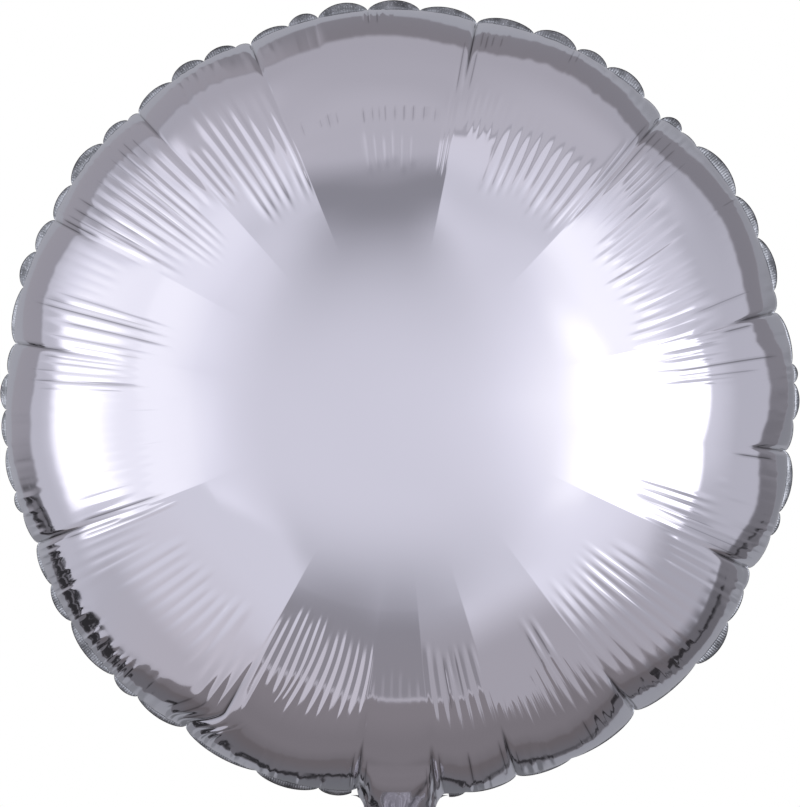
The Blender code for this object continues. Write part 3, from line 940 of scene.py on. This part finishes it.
def valve_material(neck):
    """Clear film, slightly cloudy, with fine draw lines down it."""
    material, shader, place = new_material("valve_film")
    shader.inputs["Base Color"].default_value = shaded(neck.valve_colour, 1)
    shader.inputs["IOR"].default_value = 1.5
    lines = noise(place.node("ShaderNodeMapping", None, {"Vector": place, "Scale": (1400, 1400, 60)}), 1, 2)
    plug(lines * 0.2 + 0.15, shader, "Roughness")
    plug(lines * 0.3 + 0.35, shader, "Alpha")
    plug(bump(lines, 0.2, 0.00005), shader, "Normal")
    return material


def made_once(name, make, settings):
    """The material of that name, made on its first use."""
    return bpy.data.materials.get(name) or make(settings)


def make_film(name, side, seed, context):
    """A panel of film: its pole, then ring by ring out to the weld."""
    film = context.scene.balloon_film
    points, pole, dark = film_points(side, seed, film, context.scene.balloon_neck.fold)
    rows, columns = points.shape[:2]
    across = np.arange(columns)
    fan = np.stack((np.zeros(columns, int), 1 + (across + 1) % columns, 1 + across), axis=-1)
    quads = grid_faces(rows, columns, True, side > 0, 1)
    if side > 0:
        fan = fan[:, ::-1]
    faces = fan.tolist() + quads.tolist()
    vertices = np.vstack((pole[None, :], points.reshape(-1, 3)))
    # the crease mark holds the painted shade of creases, grooves and fold valleys, one value for each point
    marks = {"crease": np.concatenate(([0], dark.ravel()))}
    material = made_once("mirror_film", film_material, film)
    return new_piece(f"{name}_film", vertices, faces, material, [name], marks)


def leaf_height(x, z, border, fold):
    """How far a neck leaf stands off its plane: the folds, which end short of its sealed border, and the
    ridges that the sealing bars leave across that border."""
    ridges = 0.00005 * np.cos(2 * math.pi * (z + 0.35 * np.abs(x)) / WHEEL_PITCH)
    return neck_folds(x, z, fold) + ridges * border - 0.0002 * smoothstep(0.0006, 0, neck_edge(z) - np.abs(x))


def leaf_border(x, z):
    """1 on the sealed border down the neck's sides, and 0 on the film between."""
    return smoothstep(BORDER_WIDTH + 0.0002, BORDER_WIDTH - 0.0002, neck_edge(z) - np.abs(x))


def leaf_valley_shade(x, z):
    """The painted shade between the folds of the neck, as how dark each place is: most half way between two,
    and high up.
    """
    nearest = np.min([off_fold(x, z, place, half) for place, half in NECK_FOLDS], axis=0)
    along = smoothstep(-0.180, -0.194, z) * smoothstep(-0.224, -0.204, z)
    return 0.6 * smoothstep(0.7, 1.4, nearest) * inside_neck(x) * along


def make_leaf(name, side, x, z, closed, context):
    """A leaf of the neck from the places of its points in its own plane, as a thin closed shell."""
    border = leaf_border(x, z)
    lift = LEAF_OFFSET + leaf_height(x, z, border, context.scene.balloon_neck.fold)
    outer = np.stack((x, side * lift, z), axis=-1)
    inner = np.stack((x, side * np.maximum(lift - LEAF_THICKNESS, LEAF_INSIDE), z), axis=-1)
    points, faces = shell(inner, outer, closed, (side > 0) != closed)
    # the crease mark holds the painted shade between the neck's folds
    marks = {"sealed": [border, border], "crease": [leaf_valley_shade(x, z)] * 2}
    material = made_once("mirror_film", film_material, context.scene.balloon_film)
    return new_piece(f"{name}_film", points, faces, material, [name], marks)


def front_leaf_places():
    """The front leaf in its plane: even rows down it, and even columns from edge to edge."""
    down = np.linspace(0, 1, 150)[:, None]
    across = np.linspace(-1, 1, 121)[None, :]
    z = LEAF_TOP + (LEAF_BOTTOM - LEAF_TOP) * down + 0 * across
    return neck_edge(z) * across, z


def back_leaf_places():
    """The back leaf and its tab in their plane, as rings from the ribbon hole out to the leaf's outline."""
    side_z = np.linspace(LEAF_TOP, TAB_BOTTOM + TAB_CORNER, 90)
    turns = np.radians(np.linspace(0, 90, 14)[1:])
    corner_x = NECK_HALF_WIDTH - TAB_CORNER + TAB_CORNER * np.cos(turns)
    corner_z = TAB_BOTTOM + TAB_CORNER - TAB_CORNER * np.sin(turns)
    foot_x = np.linspace(NECK_HALF_WIDTH - TAB_CORNER, 0, 16)[1:]
    half_x = np.concatenate((neck_edge(side_z), corner_x, foot_x))
    half_z = np.concatenate((side_z, corner_z, np.full(len(foot_x), TAB_BOTTOM)))
    top_x = np.linspace(-neck_edge(LEAF_TOP), neck_edge(LEAF_TOP), 42)[1:-1]
    outline_x = np.concatenate((half_x, -half_x[::-1][1:], top_x))
    outline_z = np.concatenate((half_z, half_z[::-1][1:], np.full(len(top_x), LEAF_TOP)))
    turn = np.arctan2(outline_x, outline_z - HOLE_CENTRE)
    hole_x = HOLE_RADIUS * np.sin(turn)
    hole_z = HOLE_CENTRE + HOLE_RADIUS * np.cos(turn)
    out = (np.linspace(0, 1, 70) ** 1.15)[:, None]
    return hole_x + (outline_x - hole_x) * out, hole_z + (outline_z - hole_z) * out


def make_neck_weld(name, side, context):
    """The weld down one side of the neck: a flat bar whose edge is nicked by the sealing wheel."""
    z = np.linspace(SHOULDER_TOP, LEAF_BOTTOM, 420)[:, None]
    across = np.linspace(0, 1, 9)[None, :]
    inner = NECK_HALF_WIDTH - BORDER_WIDTH
    wheel = np.cos(2 * math.pi * z / WHEEL_PITCH)
    outer = neck_edge(z) + 0.00008 * wheel + 0.0001
    x = side * (inner + (outer - inner) * across)
    thick = WELD_HALF_THICKNESS * (1 - 0.4 * across**6) + 0.00004 * wheel
    front = np.stack((x, -thick, z + 0 * x), axis=-1)
    back = np.stack((x, thick, z + 0 * x), axis=-1)
    points, faces = shell(front, back, False, side > 0)
    pressed = np.tile(0.5 + 0.3 * (across**6 + 0 * z), (2, 1))
    material = made_once("sealed_film", weld_material, context.scene.balloon_weld)
    return new_piece(f"{name}_edge", points, faces, material, [name], {"pressed": pressed})


def make_ply(name, side, context):
    """A ply of the valve: flat, with soft waves across it and a mouth that gapes a little below."""
    z = np.linspace(VALVE_TOP, VALVE_BOTTOM, 120)[:, None]
    x = VALVE_HALF_WIDTH * np.linspace(-1, 1, 61)[None, :]
    inside = 1 - (x / VALVE_HALF_WIDTH) ** 2
    gape = 0.00022 * inside * smoothstep(-0.228, -0.2355, z) * (1 + 0.3 * side * np.sin(x * 700))
    waves = 0.00003 * np.sin(x * 900 + 4 * side) * np.sin(z * 90) * inside
    near = PLY_OFFSET + gape + waves
    far, near = (np.stack((x + 0 * z, side * y, z + 0 * x), axis=-1) for y in (near + PLY_THICKNESS, near))
    points, faces = shell(far, near, False, side < 0)
    material = made_once("valve_film", valve_material, context.scene.balloon_neck)
    return new_piece(f"{name}_film", points, faces, material, [name])


def weld_points(weld):
    """The rim's weld, as a flat tube along the rim: round it, the radius runs from inside the panels' rim to
    the lobes' crescents and back. The wheel's ridges are a cosine along the rim."""
    ridges = weld.ridges
    angles = np.arange(ridges * 4) / (ridges * 4) * 360
    at_neck = np.degrees(np.arcsin(WELD_OPENING / RADIUS))
    angles = angles[(angles > at_neck) & (angles < 360 - at_neck)]
    index, share = between(LOBE_STARTS, angles + 180)
    shown = WELD_LEAST + LOBE_WELDS[index] * hump(share, 0.6)
    rim = rim_radius(angles + 180)
    across = np.array([0, 0.35, 0.6, 0.8, 0.93, 1.0, 0.93, 0.8, 0.6, 0.35, 0])
    sides = np.array([-1, -1, -1, -1, -0.7, 0, 0.7, 1, 1, 1, 1])
    radii = (rim - WELD_REACH)[None, :] + (shown + WELD_REACH)[None, :] * across[:, None]
    outside = np.clip(radii - rim[None, :], 0, None)
    rng = np.random.default_rng(5)
    leans = rng.uniform(0.35, 0.75, len(LOBE_WELDS))[index]
    knurled = smoothstep(0.0002, 0.0006, outside)
    wave = np.cos(np.radians(angles * ridges))[None, :] * np.abs(sides)[:, None] * weld.ridge * knurled
    middle = outside * leans[None, :] * hump(share, 0.8)[None, :]
    y = middle + sides[:, None] * (weld.thickness / 2) + np.sign(sides)[:, None] * wave
    turned = np.radians(angles + 180)
    edge = smoothstep(0.00035, 0.0001, shown[None, :] + rim[None, :] - radii)
    pressed = 0.5 * knurled + 0.5 * np.maximum(knurled, 0.4) * edge
    return np.stack((radii * np.sin(turned), y, radii * np.cos(turned)), axis=-1), pressed


class BALLOON_OT_panels(bpy.types.Operator):
    """Makes the two panels of pleated silver film"""

    bl_idname = "balloon.panels"
    bl_label = "Film panels"

    def execute(self, context):
        make_film("front_panel", -1, 3, context)
        make_film("back_panel", 1, 11, context)
        return {"FINISHED"}


class BALLOON_OT_rim_weld(bpy.types.Operator):
    """Makes the knurled weld round the rim"""

    bl_idname = "balloon.rim_weld"
    bl_label = "Rim weld"

    def execute(self, context):
        weld = context.scene.balloon_weld
        points, pressed = weld_points(weld)
        points = points.transpose(1, 0, 2)
        rows, columns = points.shape[:2]
        faces = grid_faces(rows, columns, True, True).tolist()
        faces += [list(range(columns)), list(range(rows * columns - 1, (rows - 1) * columns - 1, -1))]
        material = made_once("sealed_film", weld_material, weld)
        new_piece("rim_weld", points, faces, material, ["rim_seal"], {"pressed": pressed.T})
        return {"FINISHED"}


class BALLOON_OT_neck(bpy.types.Operator):
    """Dresses the neck's leaves, its welds and the valve"""

    bl_idname = "balloon.neck"
    bl_label = "Neck and valve"

    def execute(self, context):
        x, z = front_leaf_places()
        make_leaf("neck_front_leaf", -1, x, z, False, context)
        x, z = back_leaf_places()
        make_leaf("neck_back_leaf", 1, x, z, True, context)
        for name, side in (("neck_seal_left", -1), ("neck_seal_right", 1)):
            make_neck_weld(name, side, context)
        for name, side in (("valve_front_ply", -1), ("valve_back_ply", 1)):
            make_ply(name, side, context)
        return {"FINISHED"}


def linear(tone):
    """The light that a screen tone between 0 and 1 stands for."""
    return tone / 12.92 if tone <= 0.04045 else ((tone + 0.055) / 1.055) ** 2.4


class Sky:
    """Directions in the studio, as sockets: the whole one and its x, y and z, degrees to the side and up,
    degrees away from the way to the camera, and degrees around that way, 0 straight down."""

    def __init__(self, tree):
        self.whole = tree.node("ShaderNodeTexCoord", output="Generated")
        parts = (tree.node("ShaderNodeSeparateXYZ", None, {0: self.whole}, part) for part in range(3))
        self.x, self.y, self.z = parts
        degree = 180 / math.pi
        self.side = tree.math("ARCTAN2", self.x, -self.y) * degree
        self.up = tree.math("ARCSINE", self.z) * degree
        self.away = tree.math("ARCCOSINE", -self.y) * degree
        self.around = tree.math("ARCTAN2", self.x, -self.z) * degree

    def card(self, left, left_edge, right, right_edge, low, low_edge, high, high_edge):
        """A soft-edged card: where each side stands, and over how many degrees it fades."""
        sides = self.side.over(left - left_edge, left + left_edge, right - right_edge, right + right_edge)
        return sides * self.up.over(low - low_edge, low + low_edge, high - high_edge, high + high_edge)


def room_layers(sky):
    """The ceiling, the floor and the walls, as tones and where they lie."""
    side, up = sky.side, sky.up
    over = up + 6 * sky.away.step(52, 80)
    return [
        # the ceiling, lower at the back, with a dark strip along its edge on the right
        (0.62, over.step(49.5, 51.5) * side.step(10, 16)),
        (0.69, over.step(52.5, 55.5)),
        (0.655, up.step(58, 80)),
        # the floor, which the right side sees sooner than the left
        (0.63, up.step(-26, -44) * (0.35 + 0.65 * side.step(-30, 20))),
        # the walls beyond the lamps
        (0.69, side.step(56, 84) * up.over(-36, -24, 28, 46)),
        (0.71, side.step(-92, -112) * up.over(-36, -24, 28, 46)),
        (0.68, side.step(-45, -90) * up.over(-62, -50, -32, -19)),
        (0.64, side.step(50, 68) * up.over(-50, -40, -28, -18)),
        # the dark gaps above and below the camera
        (0.74, sky.card(-25, 6, -8, 6, 26, 6, 42, 6)),
        (0.68, sky.card(-15, 8, 7, 6, 40, 6, 60, 6)),
        (0.735, sky.card(4, 6, 21, 8, 30, 8, 41, 6)),
        (0.52, sky.card(-13, 7, 5, 5, 16, 18, 44, 6)),
        (0.53, sky.card(-50, 9, 9, 10, -74, 8, -22, 16) * sky.x.step(-0.31, -0.19)),
    ]


def floor_layers(sky):
    """The floor's dark part, past a curved edge under the camera: softer and with a dark line on the right,
    and with a pale strip before it in the middle. Tones and where they lie, and where the whole part does."""
    x, z = sky.x, sky.z
    past = x * x - sky.y * -z - 0.445 * (z * z)
    past = past + 0.16 * x.step(-0.5, -0.58) * z.step(-0.66, -0.76)
    past = past + 0.17 * x.over(0.20, 0.33, 0.40, 0.46)
    past = past + 0.07 * x.step(-0.56, -0.62) * z.step(-0.5, -0.6)
    past = past + 0.055 * x.over(-0.16, -0.10, 0.10, 0.16)
    soft = 0.012 + 0.12 * x.step(0.2, 0.45)
    low = z.step(-0.2, -0.35)
    far = past.step(soft, -soft) * low
    strip = past.over(0.0, 0.012, 0.04, 0.055) * z.step(-0.8, -0.85) * x.over(-0.4, -0.3, 0.14, 0.2)
    line = past.over(-0.014, -0.003, 0.003, 0.014) * low * x.step(0.2, 0.45)
    return [(0.67, strip), (0.465, far), (0.495, far * sky.away.step(98, 76)), (0.49, line)], far


def lamp_layers(sky):
    """The two lamps with their halos, and what they light, as tones and where they lie."""
    side, up = sky.side, sky.up
    spread = side - 0.78 * up.math("ABSOLUTE", up)
    low = -19 + 5 * side.step(40, 22)
    softer = 6 + 12 * up.step(5, 15)
    return [
        # the ceiling behind, its bright edge, and the bright wall beyond the lamp on the left
        (0.64, sky.away.step(84, 110) * up.step(12, 40)),
        (0.84, sky.card(-100, 12, -58, 8, 38, 4, 48, 4)),
        (0.78, sky.card(-118, 10, -80, 10, 14, 6, 32, 6)),
        # the wall beyond the lamp, the halo and the lamp on the right
        (0.79, side.over(60, 68, 74, 94) * up.over(-18, -8, 10, 24)),
        (0.965, spread.step(-3, 23) * side.step(61, 44) * up.over(-36, -10, 17, 43)),
        (1.14, sky.card(26, 9, 74, 1.5, low, 3, 12.5 - 4 * side.step(48, 62), 4)),
        # the halo and the lamp on the left, whose far side is soft above the lamp
        (0.94, sky.card(-99, softer, -28, 16, -18, 2, 29, 15)),
        (0.915, sky.card(-66, 8, -52, 1.5, -17, 3, 32, 10)),
        (1.12, sky.card(-96, 7, -66, 10, -18, 2, 11, 5)),
    ]


def back_layers(sky):
    """Behind the balloon: a dark screen, a darker one below, and a pale wall in the middle, in a black frame
    that is lower down only and nearer at the sides. Tones and where they lie, and where the screen and the
    wall do."""
    x, up, away, around = sky.x, sky.up, sky.away, sky.around
    below = around.over(-78, -66, 60, 70)
    left, right, end = around.step(-36, -46), around.step(36, 42), around.step(48, 54)
    later = 3 * x.step(-0.2, -0.6) * up.step(-50, -38) + 8 * around.over(-78, -70, -60, -54)
    screen = (away - later - 2 * x.step(0.6, 0.85)).step(115, 120)
    wall = (away - 3 * left).step(143.5, 146.5)
    patch = noise(sky.whole, 11, 2)
    uneven = away + 10 * (patch - 0.5)
    comb = around.over(-60, -56, -48, -44)
    frame = (uneven + 16 * right - 8 * end + 12 * left + 4 * comb).step(136.5, 138.5)
    frame = frame * (uneven + 14 * right - 3 * end - 3 * left).step(145, 142) * below
    frame = frame * (1 - around.over(-47, -46, -34, -32)) * (1 - 0.5 * around.over(17, 20, 35, 38))
    doors = around.over(6, 8, 16, 18) + around.over(-24, -22, -13, -11)
    layers = [
        (0.43, away.step(105, 119) * up.step(-22, -34) * x.step(-0.7, -0.5)),
        (0.485, screen),
        (0.575, screen * x.step(-0.15, -0.35) * up.step(-16, 2)),
        (0.435, screen * x.step(0.2, 0.5) * up.step(5, -10)),
        (0.39, screen * below),
        (0.59, wall),
        (0.54, wall * x.step(0.05, 0.35) * up.step(26, 16)),
        (0.49, wall * x.step(0.2, 0.38) * up.step(8, 1)),
        (0.55, wall * below),
        (0.48, wall * around.over(-66, -56, -40, -34)),
        (0.40, screen * around.over(-26, -16, 10, 20)),
        (0.17, frame * (patch + 0.3 * doors + 0.12 * right).step(0.38, 0.46)),
    ]
    return layers, screen, wall


def studio_world(light, film_tone):
    """The studio's walls, lamps and floor as light from far away: layers of tones, each over the last."""
    world = bpy.data.worlds.new("studio")
    world.use_nodes = True
    tree = Socket(world.node_tree)
    sky = Sky(tree)

    def level(tone):
        return linear(tone) / film_tone

    floor, far = floor_layers(sky)
    behind, screen, wall = back_layers(sky)
    room = sky.up * 0 + level(0.797)
    for tone, mask in (*room_layers(sky), *floor, *lamp_layers(sky), *behind):
        room = room * (1 - mask) + mask * level(tone)
    # the light is a little blue: less so where it is bright or comes off the floor, more on the wall behind
    warm = sky.up.step(-22, -48) * sky.away.step(140, 120) * (0.45 + 0.55 * far)
    warm = warm + 0.3 * sky.up.step(30, 60) + 0.3 * screen
    green = room * (0.981 - 0.07 * warm) * (1 + 0.05 * wall)
    blue = room * (1.10 - 0.12 * warm - 0.035 * room.step(level(0.85), level(0.95))) * (1 + 0.05 * wall)
    colour = tree.node("ShaderNodeCombineColor", None, {0: room, 1: green, 2: blue}, "Color")
    seen = tree.node("ShaderNodeLightPath", output="Is Camera Ray")
    background = world.node_tree.nodes["Background"]
    background.inputs["Strength"].default_value = light
    plug(mixed(seen, colour, (1 / light, 1 / light, 1 / light, 1)), background, "Color")
    return world


class BALLOON_OT_studio(bpy.types.Operator):
    """Sets up the camera, the light and the floor"""

    bl_idname = "balloon.studio"
    bl_label = "Studio"

    def execute(self, context):
        studio = context.scene.balloon_studio
        scene = context.scene
        scene.view_settings.view_transform = "Standard"
        scene.world = studio_world(studio.light, context.scene.balloon_film.colour[0])
        camera = bpy.data.cameras.new("camera")
        camera.sensor_width = 36
        camera.lens = camera.sensor_width * studio.distance / studio.view_height
        stand = bpy.data.objects.new("camera", camera)
        stand.location = (0, -studio.distance, 0)
        stand.rotation_euler = (math.pi / 2, 0, 0)
        scene.collection.objects.link(stand)
        scene.camera = stand
        turns = np.radians(np.arange(FLOOR_SIDES) * 360 / FLOOR_SIDES)
        rings = np.array([0.02, 0.5, 1.0])[:, None] * studio.floor_radius
        x, y = rings * np.cos(turns), rings * np.sin(turns)
        points = np.stack((x, y, np.full(x.shape, -studio.floor_drop)), axis=-1)
        mesh = bpy.data.meshes.new("floor")
        faces = grid_faces(len(rings), FLOOR_SIDES, True, True).tolist() + [list(range(FLOOR_SIDES))]
        mesh.from_pydata(points.reshape(-1, 3).tolist(), [], faces)
        material, shader, place = new_material("floor")
        shader.inputs["Roughness"].default_value = 0.8
        pale = ((0.3, (0.90, 0.90, 0.91, 1)), (0.7, (0.96, 0.96, 0.96, 1)))
        plug(ramp(noise(place, 1.5, 2), *pale), shader, "Base Color")
        mesh.materials.append(material)
        floor = bpy.data.objects.new("floor", mesh)
        scene.collection.objects.link(floor)
        floor.visible_glossy = False
        return {"FINISHED"}


class BALLOON_PT_panel(bpy.types.Panel):
    """Lists the balloon's pieces and their sizes"""

    bl_idname = "BALLOON_PT_panel"
    bl_label = "Round Foil Balloon"
    bl_space_type = "VIEW_3D"
    bl_region_type = "UI"
    bl_category = "Balloon"

    def draw(self, context):
        layout = self.layout
        scene = context.scene
        for operator, settings, names in PANEL_ROWS:
            box = layout.box()
            box.operator(operator)
            for name in names:
                box.prop(getattr(scene, settings), name)


PANEL_ROWS = (
    ("balloon.panels", "balloon_film", ("colour", "roughness", "flatness", "gather")),
    ("balloon.rim_weld", "balloon_weld", ("colour", "ridges", "ridge", "thickness")),
    ("balloon.neck", "balloon_neck", ("fold", "valve_colour")),
    ("balloon.studio", "balloon_studio", ("distance", "view_height", "floor_drop", "floor_radius", "light")),
)

CLASSES = (
    BalloonFilm,
    BalloonWeld,
    BalloonNeck,
    BalloonStudio,
    BALLOON_OT_panels,
    BALLOON_OT_rim_weld,
    BALLOON_OT_neck,
    BALLOON_OT_studio,
    BALLOON_PT_panel,
)

SETTINGS = {
    "balloon_film": BalloonFilm,
    "balloon_weld": BalloonWeld,
    "balloon_neck": BalloonNeck,
    "balloon_studio": BalloonStudio,
}


def register():
    for item in CLASSES:
        bpy.utils.register_class(item)
    for name, group in SETTINGS.items():
        setattr(bpy.types.Scene, name, bpy.props.PointerProperty(type=group))


def unregister():
    for name in SETTINGS:
        delattr(bpy.types.Scene, name)
    for item in reversed(CLASSES):
        bpy.utils.unregister_class(item)


def main():
    register()
    bpy.ops.balloon.panels()
    bpy.ops.balloon.rim_weld()
    bpy.ops.balloon.neck()
    bpy.ops.balloon.studio()


if __name__ == "__main__":
    main()
